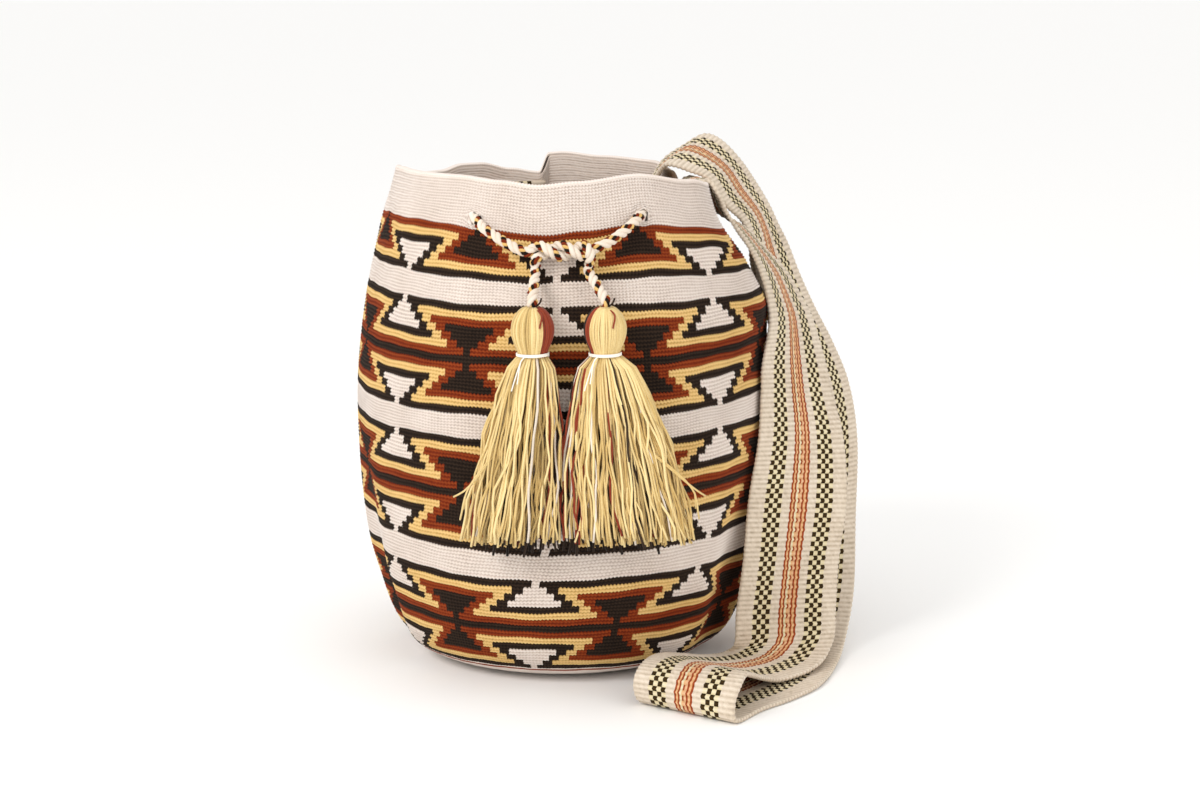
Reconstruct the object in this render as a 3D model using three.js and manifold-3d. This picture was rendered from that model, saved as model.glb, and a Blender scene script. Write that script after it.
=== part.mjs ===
// Crocheted drawstring shoulder bag, standing on its flat base with its strap lying beside it.
// Millimetres, +Z up. The origin is the centre of the underside of the base, the front faces -Y.
import * as THREE from 'three';
import * as BufferGeometryUtils from 'three/addons/utils/BufferGeometryUtils.js';
import Module from 'manifold-3d';

// ---- driving dimensions ----
const WALL = 3.5;             // thickness of the crocheted fabric
const RIM_HEIGHT = 292;       // mean height of the rim
const BAG_SIDES = 64;         // facets around the bag
const CORD = 6;               // diameter of the drawstring
const CORD_SIDES = 10;
const EYELET_CLEARANCE = 0.9; // how much wider than the drawstring its four holes are
const STRAP = 2.8;            // thickness of the woven strap
const STRAP_STEPS = 3;        // rings between two stations of the strap
const GAP = 0.35;             // clearance between pieces that touch

// Profile of the outer face before it is dented: radius, height.
const PROFILE = [
  [0, 0], [30, 0], [60, 0], [78, 2], [91, 6.5], [101, 14.5], [107.5, 26], [113, 42], [119.5, 64],
  [123.5, 92], [125.5, 128], [125.3, 165], [122.5, 196], [118.5, 222], [113.2, 246], [108.2, 266],
  [103.6, 280], [100.3, RIM_HEIGHT],
];

// Height of the rim around the bag: degrees, height. It sags where the fabric is slack.
const RIM = [
  [-180, 293.5], [-160, 295], [-126, 295], [-110, 293], [-98, 291], [-85, 293], [-65, 296], [-43, 291],
  [-28, 287], [-10, 278], [12, 274], [24, 275.5], [40, 285], [54, 289.5], [75, 291.5], [90, 294], [95, 293.5],
  [99, 281.5], [110, 284], [122, 288], [130, 288], [140, 285], [152, 285], [166, 289], [180, 293.5],
];

// The strap, from its end inside the back left of the rim to its end inside the right of the rim.
// Each station is a point on its front edge and one on its back edge.
const STRAP_STATIONS = [
  // sewn end, inside the back left wall
  [[-71, 61, 277], [-11, 93, 277]], [[-72, 63, 262], [-12, 95, 262]], [[-69, 60, 244], [-11, 92, 244]],
  // slack inside the bag
  [[-58, 48, 226], [-4, 84, 226]], [[-33, 16, 212], [5, 72, 212]], [[4, -8, 206], [28, 56, 206]],
  [[37, -25, 216], [51, 41, 212]], [[59, -30, 236], [60, 32, 232]], [[68, -30, 258], [65, 24, 255]],
  [[73, -28, 279.5], [66.5, 25, 274]],
  // over the rim, gathered to two thirds of its width
  [[85.5, -28, 287.5], [77, 28, 284.5]], [[92.5, -31, 279], [86, 23, 278.5]],
  [[96.5, -31.5, 270], [93, 14, 266]], [[103.8, -30, 258], [111, 13, 255]],
  // down the right side
  [[111.5, -32, 247], [124, 27, 241]], [[118.3, -30, 232], [139, 34, 224.5]],
  [[122.5, -32, 215], [149, 30, 207]], [[122.9, -36, 203], [154, 24, 196.6]],
  [[118.1, -48, 181], [160, 5, 173.5]], [[117.5, -50, 166], [163, 0, 158]],
  [[115.7, -55, 137], [169.5, -14, 131]], [[109.8, -60, 102], [170.7, -30.5, 95]],
  [[106.8, -65, 67], [166.2, -33, 60]], [[102.9, -66, 36], [164.4, -37.5, 30]],
  // creased on the ground, and forward to the turn
  [[102, -64.5, 16], [163, -47, 15]], [[96, -60, 8.5], [155, -72, 9]], [[88, -64, 8], [146, -88, 7]],
  [[79, -73, 10.5], [136, -99, 6.2]], [[70, -84, 14.5], [124.5, -109, 6.4]],
  [[60, -99, 19.5], [114.5, -120, 11]], [[52, -116, 23.5], [107, -138, 18.5]],
  [[45.5, -129, 23.5], [102, -154, 23.5]], [[41, -136, 19], [97.5, -166, 19.5]],
  [[40, -137, 11], [94.5, -170, 11.5]], [[44, -132, 2.4], [96, -171, 2.4]],
  // back underneath, flat on the ground
  [[58, -111, 1.8], [112, -148, 1.8]], [[75, -88, 1.8], [131, -128, 1.8]],
  [[91, -62, 1.9], [149, -103, 2.2]], [[103, -40, 4], [162, -67, 3]], [[116, -24, 13], [171, -34, 9]],
  // up the right side again, behind the first run
  [[125, -15, 36], [179.5, -3, 32]], [[132, -15, 72], [183, 26, 70]], [[142, -13, 118], [184.5, 38, 118]],
  [[142.4, -8.7, 151.5], [180, 48, 151.5]], [[136.6, 1.2, 176], [170.8, 60, 176]],
  [[126.5, 12, 197.4], [160, 70, 197.4]], [[119.8, 19, 217.5], [150.9, 78, 217.5]],
  [[116, 21, 233], [143.2, 80, 237]], [[114.5, 21, 248], [137.1, 84.8, 249.4]],
  [[109.7, 19, 259], [131, 82.5, 262]], [[98.9, 14, 269.5], [121.4, 76.2, 277.6]],
  // arched over the first run and the rim
  [[88.6, 6, 285], [111.9, 69.5, 291]], [[76.6, 8, 290.5], [100.4, 69.2, 303]],
  [[65.3, 13, 293.5], [90, 73, 307]], [[60, 20, 290], [78, 71, 301]], [[57, 25, 281], [63, 65.5, 291]],
  // sewn end, inside the right wall
  [[60, 25, 264], [54, 74, 272]], [[65, 25, 251], [56, 77, 256]], [[79, 24, 243], [59, 81, 246]],
  [[92, 24, 235.5], [61.5, 85, 236]], [[99, 25, 226], [63, 88, 226]], [[103, 26, 216], [64, 90, 216]],
];

// The drawstring, as [degrees, distance below the rim, distance out from the outer face of the wall].
const CORD_STATIONS = [
  [-99, 36, 10.2], [-103.5, 33.5, 9], [-108.5, 29.5, 7.4], [-113.5, 25, 4.8], [-118, 21.7, -1.7],
  [-122.5, 21.7, -7.8], [-130, 21.7, -8], [-142, 21.7, -8], [-154, 21.7, -8], [-166, 21.7, -8],
  [-178, 21.7, -8], [170, 21.7, -8], [160, 21.7, -8], [154.5, 21.7, -7.8], [150, 21.7, -1.7],
  [145.5, 21.7, 3.9], [138, 21.7, 4], [127, 21.7, 4], [116, 21.7, 4], [105, 21.7, 4], [94, 21.7, 4],
  [83, 21.7, 4], [72, 21.7, 4], [64.5, 21.7, 3.9], [60, 21.7, -1.7], [55.5, 21.7, -7.6],
  [46, 21.7, -7.6], [34, 21.7, -7.6], [22, 21.7, -7.6], [10, 21.7, -7.6], [-2, 21.7, -7.6],
  [-14, 21.7, -7.6], [-26, 21.7, -7.8], [-38, 21.7, -8], [-50, 21.7, -8], [-60, 21.7, -7.8],
  [-64.5, 21.7, -1.7], [-69, 25, 4.8], [-73.5, 29.5, 7.4], [-78, 33.5, 9], [-82, 36, 10.2],
];

const KNOT = { x: -1, y: -121, z: 257.5, length: 46, radius: 6.7 };
const HINGE_HEIGHT = 247.2;   // where the two ends of the drawstring bend as the tassels swing
const DROP_TOP = 3.2;         // how far each end goes up past that, towards the knot

// Each tassel: the middle of its head, the middle of its cut end, and half the width of that end.
const TASSELS = {
  left: { head: [-16.5, -135, 216], foot: [-28.5, -141, 97], half: 23.5, hinge: -15 },
  right: { head: [23.5, -135, 216], foot: [36, -141, 97], half: 34.5, hinge: 15 },
};
const HEAD_RADIUS = 12;
const NECK_RADIUS = 8;
const SKIRT_DEPTH = 10.5;     // half the depth of a tassel at its cut end
const TIE = 1.6;              // thickness of the thread wound around the neck

// ---- colours ----
const CREAM = 0xe6d6c8;
const STRAW = 0xdab885;
const STRAP_CREAM = 0xd8c4a9;
const THREAD_WHITE = 0xece4d8;

const wasm = await Module();
wasm.setup();

// ---- helpers ----

function fabric(colour, roughness) {
  return new THREE.MeshStandardMaterial({ color: colour, roughness, metalness: 0 });
}

// Leaves only merged positions and drops the triangles that close up at an axis.
function closed(geometry) {
  geometry.deleteAttribute('normal');
  geometry.deleteAttribute('uv');
  const merged = BufferGeometryUtils.mergeVertices(geometry, 1e-4);
  const kept = [];
  const index = merged.index.array;
  for (let i = 0; i < index.length; i += 3) {
    const [a, b, c] = [index[i], index[i + 1], index[i + 2]];
    if (a !== b && b !== c && c !== a) kept.push(a, b, c);
  }
  merged.setIndex(kept);
  return merged;
}

function toManifold(geometry) {
  const vertProperties = new Float32Array(geometry.attributes.position.array);
  const triVerts = new Uint32Array(geometry.index.array);
  return new wasm.Manifold(new wasm.Mesh({ numProp: 3, vertProperties, triVerts }));
}

function toGeometry(manifold) {
  const mesh = manifold.getMesh();
  const geometry = new THREE.BufferGeometry();
  geometry.setAttribute('position', new THREE.BufferAttribute(mesh.vertProperties, 3));
  geometry.setIndex(new THREE.BufferAttribute(mesh.triVerts, 1));
  return geometry;
}

// Moves every vertex of a geometry to place(x, y, z).
function reshape(geometry, place) {
  const position = geometry.attributes.position;
  for (let i = 0; i < position.count; i += 1) {
    const point = place(position.getX(i), position.getY(i), position.getZ(i));
    position.setXYZ(i, point.x, point.y, point.z);
  }
  return geometry;
}

function smooth(value) {
  const x = Math.min(Math.max(value, 0), 1);
  return x * x * (3 - 2 * x);
}

// A raised cosine around the bag: 1 at the centre, 0 at the half width, in degrees.
function bump(degrees, centre, half) {
  const away = Math.abs(((degrees - centre + 540) % 360) - 180) / half;
  return away < 1 ? 0.5 + 0.5 * Math.cos(Math.PI * away) : 0;
}

function rimHeight(degrees) {
  const at = ((degrees + 540) % 360) - 180;
  const next = RIM.findIndex(([angle], k) => k > 0 && at <= angle);
  const [a0, z0] = RIM[next - 1];
  const [a1, z1] = RIM[next];
  return z0 + (z1 - z0) * smooth((at - a0) / (a1 - a0));
}

// ---- the bag ----

// Turns a point of the plain round bag into the dented, sagging one.
function slump(degrees, radius, height) {
  const top = smooth((height - 190) / 100);
  const low = smooth(height / 25) * (1 - smooth((height - 60) / 110));
  const wave = THREE.MathUtils.degToRad;
  let shift = -25 * bump(degrees, 10, 50) * smooth((height - 205) / 80);   // pulled in by the strap
  shift -= 4 * bump(degrees, 112, 26) * top;
  const swell = smooth((height - 190) / 30) * (1 - smooth((height - 246) / 28));
  shift += 7 * bump(degrees, -20, 30) * swell;                             // full, in front of the strap
  shift += 1.6 * Math.sin(wave(3 * degrees + 40)) * smooth(height / 60) * (1 - 0.3 * top);
  shift += 1.2 * Math.sin(wave(7 * degrees + 10)) * top;
  shift -= 7 * bump(degrees, -166, 17) * low;                              // creases near the base
  shift -= 6 * bump(degrees, -30, 15) * low;
  const r = radius + shift * Math.min(radius / 60, 1);
  const a = THREE.MathUtils.degToRad(degrees);
  const lift = (rimHeight(degrees) - RIM_HEIGHT) * top ** 1.5;
  return new THREE.Vector3(r * Math.cos(a), r * Math.sin(a), height + lift);
}

const outline = new THREE.CatmullRomCurve3(
  PROFILE.map(([r, z]) => new THREE.Vector3(r, z, 0)), false, 'catmullrom', 0.5);

// The profile of the wall: up the outer face, over the rim and down the inner face to the axis.
function wallSection() {
  const outer = [];
  const inner = [];
  const spans = PROFILE.length - 1;
  const stops = [0, 2];
  for (let k = 3; k <= spans; k += 1) stops.push(k);
  for (const k of stops) {
    const point = outline.getPoint(k / spans);
    const along = outline.getTangent(k / spans);
    outer.push([point.x, point.y]);
    if (k !== 2) inner.push([point.x - along.y * WALL, point.y + along.x * WALL]);
  }
  inner[0] = [0, WALL];
  inner[inner.length - 1][1] = RIM_HEIGHT;
  return [...outer, ...inner.reverse()];
}

// A point beside the wall: degrees, distance below the rim along the wall, distance outwards.
const slopeLength = outline.getLength();
function besideWall(degrees, below, out) {
  const t = 1 - below / slopeLength;
  const point = outline.getPointAt(t);
  const place = slump(degrees, point.x, point.y);
  const a = THREE.MathUtils.degToRad(degrees);
  return place.add(new THREE.Vector3(out * Math.cos(a), out * Math.sin(a), 0));
}

function bagGeometry() {
  const shell = turned(wallSection(), BAG_SIDES);
  reshape(shell, (x, y, z) => slump(THREE.MathUtils.radToDeg(Math.atan2(y, x)), Math.hypot(x, y), z));
  const eyelets = cordLoop(CORD + EYELET_CLEARANCE);
  return toGeometry(toManifold(closed(shell)).subtract(toManifold(eyelets)));
}

// ---- the strap ----

const edges = [0, 1].map((side) => new THREE.CatmullRomCurve3(
  STRAP_STATIONS.map((station) => new THREE.Vector3(...station[side])), false, 'catmullrom', 0.5));

// A point of the strap: t along it, across from -0.5 to 0.5, and out of its face in millimetres.
function onStrap(t, across, out) {
  const front = edges[0].getPoint(t);
  const back = edges[1].getPoint(t);
  const width = back.clone().sub(front);
  const along = edges[0].getTangent(t).add(edges[1].getTangent(t));
  const face = along.cross(width).normalize();
  return front.addScaledVector(width, across + 0.5).addScaledVector(face, out);
}

// A block bent along the strap, between two places along it, across it and out of its face.
function strapBlock(start, end, half, bottom, top, steps) {
  const block = new THREE.BoxGeometry(1, 1, 1, 2, 1, steps);
  reshape(block, (x, y, z) => {
    const t = THREE.MathUtils.lerp(start, end, z + 0.5);
    return onStrap(t, 2 * half * x, THREE.MathUtils.lerp(bottom, top, y + 0.5));
  });
  return closed(block);
}

function strapGeometry() {
  return strapBlock(0, 1, 0.5, -STRAP / 2, STRAP / 2, (STRAP_STATIONS.length - 1) * STRAP_STEPS);
}

// The rows of thread that hold a strap end, on the face that looks into the bag.
function stitchGeometry(start, end, side) {
  const near = side * (STRAP / 2 + GAP + 0.15);
  const far = near + side * 1.1;
  return strapBlock(start, end, 0.42, Math.min(near, far), Math.max(near, far), 2);
}

// ---- the drawstring and its knot ----

function roundShape(radius, sides) {
  const corners = [];
  for (let k = 0; k < sides; k += 1) {
    const a = (2 * Math.PI * k) / sides;
    corners.push(new THREE.Vector2(radius * Math.cos(a), radius * Math.sin(a)));
  }
  return new THREE.Shape(corners);
}

function tube(points, diameter, sides, steps) {
  const extrudePath = new THREE.CatmullRomCurve3(points, false, 'catmullrom', 0.5);
  const shape = roundShape(diameter / 2, sides);
  return closed(new THREE.ExtrudeGeometry(shape, { steps, bevelEnabled: false, extrudePath }));
}

// A body turned about the vertical axis, from a list of [radius, height] that meets the axis twice.
function turned(profile, sides) {
  const geometry = new THREE.LatheGeometry(profile.map(([r, z]) => new THREE.Vector2(r, z)), sides);
  return geometry.rotateX(Math.PI / 2);
}

function cordLoop(diameter) {
  return tube(CORD_STATIONS.map((station) => besideWall(...station)), diameter, CORD_SIDES, 80);
}

function drawstringGeometry() {
  const loop = toManifold(cordLoop(CORD));
  const half = KNOT.length / 2;
  const lump = [[0, -1], [0.6, -0.86], [0.92, -0.5], [1, 0], [0.92, 0.5], [0.6, 0.86], [0, 1]];
  const knot = turned(lump.map(([r, z]) => [r * KNOT.radius, z * half]), 12);
  knot.rotateY(Math.PI / 2);
  knot.translate(KNOT.x, KNOT.y, KNOT.z);
  return toGeometry(loop.add(toManifold(closed(knot))));
}

// ---- the tassels ----

// Each tassel hangs on a short end of the drawstring, which leaves the knot straight down.
function dropGeometry(tassel) {
  const [hx, hy, hz] = tassel.head;
  const start = new THREE.Vector3(tassel.hinge, KNOT.y, HINGE_HEIGHT + DROP_TOP);
  const end = new THREE.Vector3(hx, hy, hz + HEAD_RADIUS + GAP);
  const bend = start.clone().setZ(HINGE_HEIGHT - 2);
  const entry = end.clone().setZ(end.z + 4);
  return tube([start, bend, entry, end], CORD, CORD_SIDES, 8);
}

// Head, neck and skirt as one body. Below the neck it leans to its foot and spreads sideways.
function tasselGeometry(tassel) {
  const [hx, hy, hz] = tassel.head;
  const [fx, fy, fz] = tassel.foot;
  const neck = hz - HEAD_RADIUS - 2;
  const profile = [
    [0, hz + HEAD_RADIUS], [6.5, hz + 10], [10.5, hz + 5.5], [HEAD_RADIUS, hz], [10.5, hz - 6.5],
    [NECK_RADIUS, neck + 2], [NECK_RADIUS, neck - 2], [9.5, neck - 10], [10, neck - 30],
    [10, neck - 60], [10, fz], [0, fz],
  ].reverse();
  const body = turned(profile, 20);
  const spring = neck - 3;
  return closed(reshape(body, (x, y, z) => {
    const down = Math.min(Math.max((spring - z) / (spring - fz), 0), 1);
    const spread = 1 + (tassel.half / 10 - 1) * down ** 0.75;
    const flat = 1 + (SKIRT_DEPTH / 10 - 1) * down;
    return new THREE.Vector3(hx + (fx - hx) * down + x * spread, hy + (fy - hy) * down + y * flat, z);
  }));
}

// The thread wound around the neck: a ring with an eight-sided section.
function tieGeometry(tassel) {
  const [x, y, z] = tassel.head;
  const ring = [];
  for (let k = 0; k <= 8; k += 1) {
    const a = (2 * Math.PI * (k % 8)) / 8;
    const radius = NECK_RADIUS + 0.5 + TIE / 2;
    ring.push([radius + (TIE / 2) * Math.cos(a), (TIE / 2) * Math.sin(a)]);
  }
  const geometry = turned(ring, 20);
  return closed(geometry.translate(x, y, z - HEAD_RADIUS - 2));
}

// ---- assembly ----

const bag = new THREE.Group();

function add(name, geometry, material) {
  const mesh = new THREE.Mesh(geometry, material);
  mesh.name = name;
  bag.add(mesh);
}

add('crochet_bag', bagGeometry(), fabric(CREAM, 0.9));
add('strap', strapGeometry(), fabric(STRAP_CREAM, 0.88));
add('strap_stitching_back', stitchGeometry(0.006, 0.012, 1), fabric(THREAD_WHITE, 0.8));
add('strap_stitching_right', stitchGeometry(0.988, 0.994, 1), fabric(THREAD_WHITE, 0.8));
add('drawstring', drawstringGeometry(), fabric(THREAD_WHITE, 0.8));
for (const [side, tassel] of Object.entries(TASSELS)) {
  add(`drop_${side}`, dropGeometry(tassel), fabric(THREAD_WHITE, 0.8));
  add(`tassel_${side}`, tasselGeometry(tassel), fabric(STRAW, 0.75));
  add(`tie_${side}`, tieGeometry(tassel), fabric(THREAD_WHITE, 0.8));
}

export default bag;
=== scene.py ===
# %% [markdown]
# # A crocheted drawstring bag
# The bag is worked in cotton yarn from the middle of its base, with a coloured pattern in its wall.
# A twisted cord threads through the rim and ends in two tassels. A woven strap is sewn inside the rim.
# Everything here is in metres, around a fixed model that holds the sizes and the moving parts.

# %% The fixed model
import math
import bpy
import numpy as np
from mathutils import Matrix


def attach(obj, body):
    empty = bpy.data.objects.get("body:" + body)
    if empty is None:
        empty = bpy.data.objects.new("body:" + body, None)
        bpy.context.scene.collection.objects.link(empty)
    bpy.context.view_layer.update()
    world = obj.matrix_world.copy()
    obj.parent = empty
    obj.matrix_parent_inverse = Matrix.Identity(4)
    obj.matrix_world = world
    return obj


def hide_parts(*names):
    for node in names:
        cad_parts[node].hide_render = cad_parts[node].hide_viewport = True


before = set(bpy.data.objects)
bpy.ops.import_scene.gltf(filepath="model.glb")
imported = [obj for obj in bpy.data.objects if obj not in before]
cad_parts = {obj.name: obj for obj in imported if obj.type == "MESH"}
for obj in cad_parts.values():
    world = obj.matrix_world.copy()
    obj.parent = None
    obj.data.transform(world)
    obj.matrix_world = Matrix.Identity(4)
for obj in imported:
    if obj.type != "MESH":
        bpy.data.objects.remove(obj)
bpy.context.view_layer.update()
MM = 0.001

# %% [markdown]
# ## Camera, floor and light
# The bag is seen from the front, a little from above, with a lens that is long enough to keep the
# wall's sides nearly parallel. Cotton has no highlights of its own, so the light is broad and soft:
# a bright sky does most of the work, and one large lamp on the left models the round wall.

# %% Camera
camera = bpy.data.objects.new("camera", bpy.data.cameras.new("camera"))
bpy.context.scene.collection.objects.link(camera)
camera.location = (0.0, -1.45, 0.42)
camera.rotation_euler = (math.radians(79.5), 0.0, math.radians(-0.9))
camera.data.sensor_width = 36.0
camera.data.lens = 72.5
bpy.context.scene.camera = camera
bpy.context.scene.view_settings.view_transform = "Standard"

# %% Helpers for colour, nodes and meshes
def linear(code):
    """An sRGB hex colour as linear red, green, blue and alpha."""
    parts = [int(code[k:k + 2], 16) / 255 for k in (1, 3, 5)]
    return [c / 12.92 if c <= 0.04045 else ((c + 0.055) / 1.055) ** 2.4 for c in parts] + [1.0]


def add_node(tree, kind, inputs=None, **settings):
    """Adds a node, sets its settings, and fills or links its inputs."""
    made = tree.nodes.new(kind)
    for name, value in settings.items():
        setattr(made, name, value)
    for name, value in (inputs or {}).items():
        if isinstance(value, bpy.types.NodeSocket):
            tree.links.new(value, made.inputs[name])
        else:
            made.inputs[name].default_value = value
    return made


def new_material(name):
    """An empty node material, and its tree."""
    material = bpy.data.materials.new(name)
    material.use_nodes = True
    material.node_tree.nodes.clear()
    return material, material.node_tree


def new_mesh(name, points, quads, caps=(), slots=None, uv=None, tone=None):
    """A smooth mesh from arrays: points in mm, quads, and caps as rows of corner numbers."""
    caps = np.asarray(caps, int)
    corners = np.concatenate([quads.ravel(), caps.ravel()])
    sizes = [4] * len(quads) + [caps.shape[1]] * len(caps) if len(caps) else [4] * len(quads)
    starts = np.concatenate([[0], np.cumsum(sizes)[:-1]])
    mesh = bpy.data.meshes.new(name)
    mesh.vertices.add(len(points))
    mesh.vertices.foreach_set("co", (np.asarray(points) * MM).astype(np.float32).ravel())
    mesh.loops.add(len(corners))
    mesh.loops.foreach_set("vertex_index", corners.astype(np.int32))
    mesh.polygons.add(len(sizes))
    mesh.polygons.foreach_set("loop_start", starts.astype(np.int32))
    mesh.polygons.foreach_set("use_smooth", np.ones(len(sizes), bool))
    if slots is not None:
        mesh.polygons.foreach_set("material_index", np.asarray(slots, np.int32))
    if uv is not None:
        layer = mesh.uv_layers.new(name="OFBake")
        layer.data.foreach_set("uv", np.asarray(uv, np.float32).ravel())
    if tone is not None:
        mesh.attributes.new("tone", "FLOAT", "POINT")
        mesh.attributes["tone"].data.foreach_set("value", np.asarray(tone, np.float32))
    mesh.update(calc_edges=True)
    mesh.validate()
    made = bpy.data.objects.new(name, mesh)
    bpy.context.scene.collection.objects.link(made)
    return made


def smooth(x):
    x = np.clip(x, 0.0, 1.0)
    return x * x * (3 - 2 * x)


def spline(points, per_span):
    """A Catmull-Rom curve through points, with per_span steps between two of them."""
    points = np.array(points, float)
    ends = np.vstack([2 * points[0] - points[1], points, 2 * points[-1] - points[-2]])
    t = np.linspace(0, 1, per_span, endpoint=False)[:, None]
    spans = []
    for k in range(len(points) - 1):
        a, b, c, d = ends[k:k + 4]
        spans.append(0.5 * (2 * b + (c - a) * t + (2 * a - 5 * b + 4 * c - d) * t ** 2
                            + (3 * b - a - 3 * c + d) * t ** 3))
    return np.vstack(spans + [points[-1:]])


# %% Floor and lamps
floor_material, tree = new_material("white painted floor")
shade = add_node(tree, "ShaderNodeBsdfPrincipled", {"Base Color": linear("#FBFAF8"), "Roughness": 0.9})
add_node(tree, "ShaderNodeOutputMaterial", {"Surface": shade.outputs[0]})
FLOOR = 20000.0
corners = np.array([[-FLOOR, -FLOOR, 0], [FLOOR, -FLOOR, 0], [FLOOR, FLOOR, 0], [-FLOOR, FLOOR, 0]])
floor = new_mesh("floor", corners, np.array([[0, 1, 2, 3]]))
floor.data.materials.append(floor_material)

world = bpy.data.worlds.new("studio")
world.use_nodes = True
world.node_tree.nodes["Background"].inputs["Color"].default_value = linear("#FFFFFF")
world.node_tree.nodes["Background"].inputs["Strength"].default_value = 1.0
bpy.context.scene.world = world


def lamp(name, place, aim, size, power):
    """A square soft lamp at place, turned to aim."""
    data = bpy.data.lights.new(name, "AREA")
    data.size = size
    data.energy = power
    made = bpy.data.objects.new(name, data)
    made.location = place
    direction = [b - a for a, b in zip(place, aim)]
    flat = math.hypot(direction[0], direction[1])
    made.rotation_euler = (math.atan2(flat, -direction[2]), 0, math.atan2(-direction[0], direction[1]))
    bpy.context.scene.collection.objects.link(made)


MIDDLE = (0.0, 0.0, 0.15)
lamp("key", (-1.4, -1.6, 1.6), MIDDLE, 0.9, 26.0)
lamp("fill", (1.5, -1.5, 0.9), MIDDLE, 1.5, 5.0)
print("camera, floor, sky and two lamps are in place")

# %% [markdown]
# ## Cotton yarn
# Every part of the bag is mercerised or plain cotton, spun and plied. Such yarn is matt, scatters
# light softly at grazing angles, and is darker in the grooves between stitches where light is shut
# in; that darkening is painted into the colour here. One recipe serves all colours: a painted
# shade, the dye's own colour and a painted lit tone, picked by how far a point stands out (the
# "tone" value stored in each mesh) and by a fine mottle, and a bump as fine as the fibres.

# %% The yarn recipe and its colours
FIBRE_MM = 0.7      # the lay of the fibres; real ones are finer than a view of the whole bag shows
MOTTLE_MM = 26.0    # patches where hand-dyed yarn takes the dye a little more or less


def cotton(name, deep, main, pale, sheen=0.06, roughness=0.88, relief=0.5, gloss=0.12):
    """Plied cotton yarn in one dye: its shaded, plain and lit tones."""
    material, tree = new_material(name)
    place = add_node(tree, "ShaderNodeTexCoord")
    tone = add_node(tree, "ShaderNodeAttribute", attribute_name="tone")
    fibre = add_node(tree, "ShaderNodeTexNoise", {"Vector": place.outputs["Object"],
                                                 "Scale": 1 / (FIBRE_MM * MM), "Detail": 3.0})
    mottle = add_node(tree, "ShaderNodeTexNoise", {"Vector": place.outputs["Object"],
                                                  "Scale": 1 / (MOTTLE_MM * MM), "Detail": 2.0})
    both = add_node(tree, "ShaderNodeMath", operation="ADD")
    tree.links.new(fibre.outputs["Fac"], both.inputs[0])
    tree.links.new(mottle.outputs["Fac"], both.inputs[1])
    picked = add_node(tree, "ShaderNodeMath", operation="MULTIPLY_ADD")
    tree.links.new(both.outputs[0], picked.inputs[0])
    picked.inputs[1].default_value = 0.3
    tree.links.new(tone.outputs["Fac"], picked.inputs[2])
    # The ramp paints light into the colour: the deep stop is painted shade in the grooves, and the pale stop
    # is a painted lit tone where a point stands out.
    ramp = add_node(tree, "ShaderNodeValToRGB", {"Fac": picked.outputs[0]})
    stops = ramp.color_ramp.elements
    stops[0].position, stops[0].color = 0.25, linear(deep)
    stops[1].position, stops[1].color = 1.25 / 1.3, linear(pale)
    middle = stops.new(0.7)
    middle.color = linear(main)
    raised = add_node(tree, "ShaderNodeBump", {"Height": fibre.outputs["Fac"], "Strength": relief,
                                              "Distance": 0.0003})
    shade = add_node(tree, "ShaderNodeBsdfPrincipled",
                     {"Base Color": ramp.outputs["Color"], "Roughness": roughness,
                      "Specular IOR Level": gloss,
                      "Sheen Weight": sheen, "Sheen Roughness": 0.5, "Normal": raised.outputs[0]})
    add_node(tree, "ShaderNodeOutputMaterial", {"Surface": shade.outputs[0]})
    return material


BAG_YARNS = {
    "cream": cotton("crochet cotton, undyed cream", "#8F7B6C", "#D9C8BB", "#EADED4"),
    "dark": cotton("crochet cotton, dark brown", "#0C0705", "#211711", "#33261C", sheen=0.02),
    "rust": cotton("crochet cotton, rust", "#3F1206", "#752A10", "#8E3D19", sheen=0.02),
    "mustard": cotton("crochet cotton, mustard", "#866033", "#D6AD68", "#E8C484", sheen=0.04),
}
print("yarns of the wall:", ", ".join(BAG_YARNS))

# %% [markdown]
# ## The shape of the wall
# The wall is a round of single crochet, widest a hand's width above the floor. It is slack, so it
# dents where the strap leans on it and its rim dips at the front right. A curve from the middle of
# the base to the rim gives the plain form, and one function then slumps it.

# %% Profile, rim and slump
PROFILE = [[0, 0], [30, 0], [60, 0], [78, 2], [91, 6.5], [101, 14.5], [107.5, 26], [113, 42],
           [119.5, 64], [123.5, 92], [125.5, 128], [125.3, 165], [122.5, 196], [118.5, 222],
           [113.2, 246], [108.2, 266], [103.6, 280], [100.3, 292]]
RIM = [[-180, 293.5], [-160, 295], [-126, 295], [-110, 293], [-98, 291], [-85, 293], [-65, 296],
       [-43, 291], [-28, 287], [-10, 278], [12, 274], [24, 275.5], [40, 285], [54, 289.5], [75, 291.5],
       [90, 294],
       [95, 293.5], [99, 281.5], [110, 284], [122, 288], [130, 288], [140, 285], [152, 285],
       [166, 289], [180, 293.5]]
RIM_HEIGHT = 292.0
WALL = 3.5

outline = spline(PROFILE, 40)
outline_run = np.concatenate([[0], np.cumsum(np.linalg.norm(np.diff(outline, axis=0), axis=1))])
SLOPE = outline_run[-1]


def bump(degrees, centre, half):
    """A raised cosine around the bag: 1 at the centre, 0 at the half width."""
    away = np.abs((degrees - centre + 540) % 360 - 180) / half
    return np.where(away < 1, 0.5 + 0.5 * np.cos(np.pi * np.minimum(away, 1)), 0)


def rim_height(degrees):
    at = (degrees + 540) % 360 - 180
    angles, heights = np.array(RIM, float).T
    k = np.clip(np.searchsorted(angles, at), 1, len(RIM) - 1)
    share = smooth((at - angles[k - 1]) / (angles[k] - angles[k - 1]))
    return heights[k - 1] + (heights[k] - heights[k - 1]) * share


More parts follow.
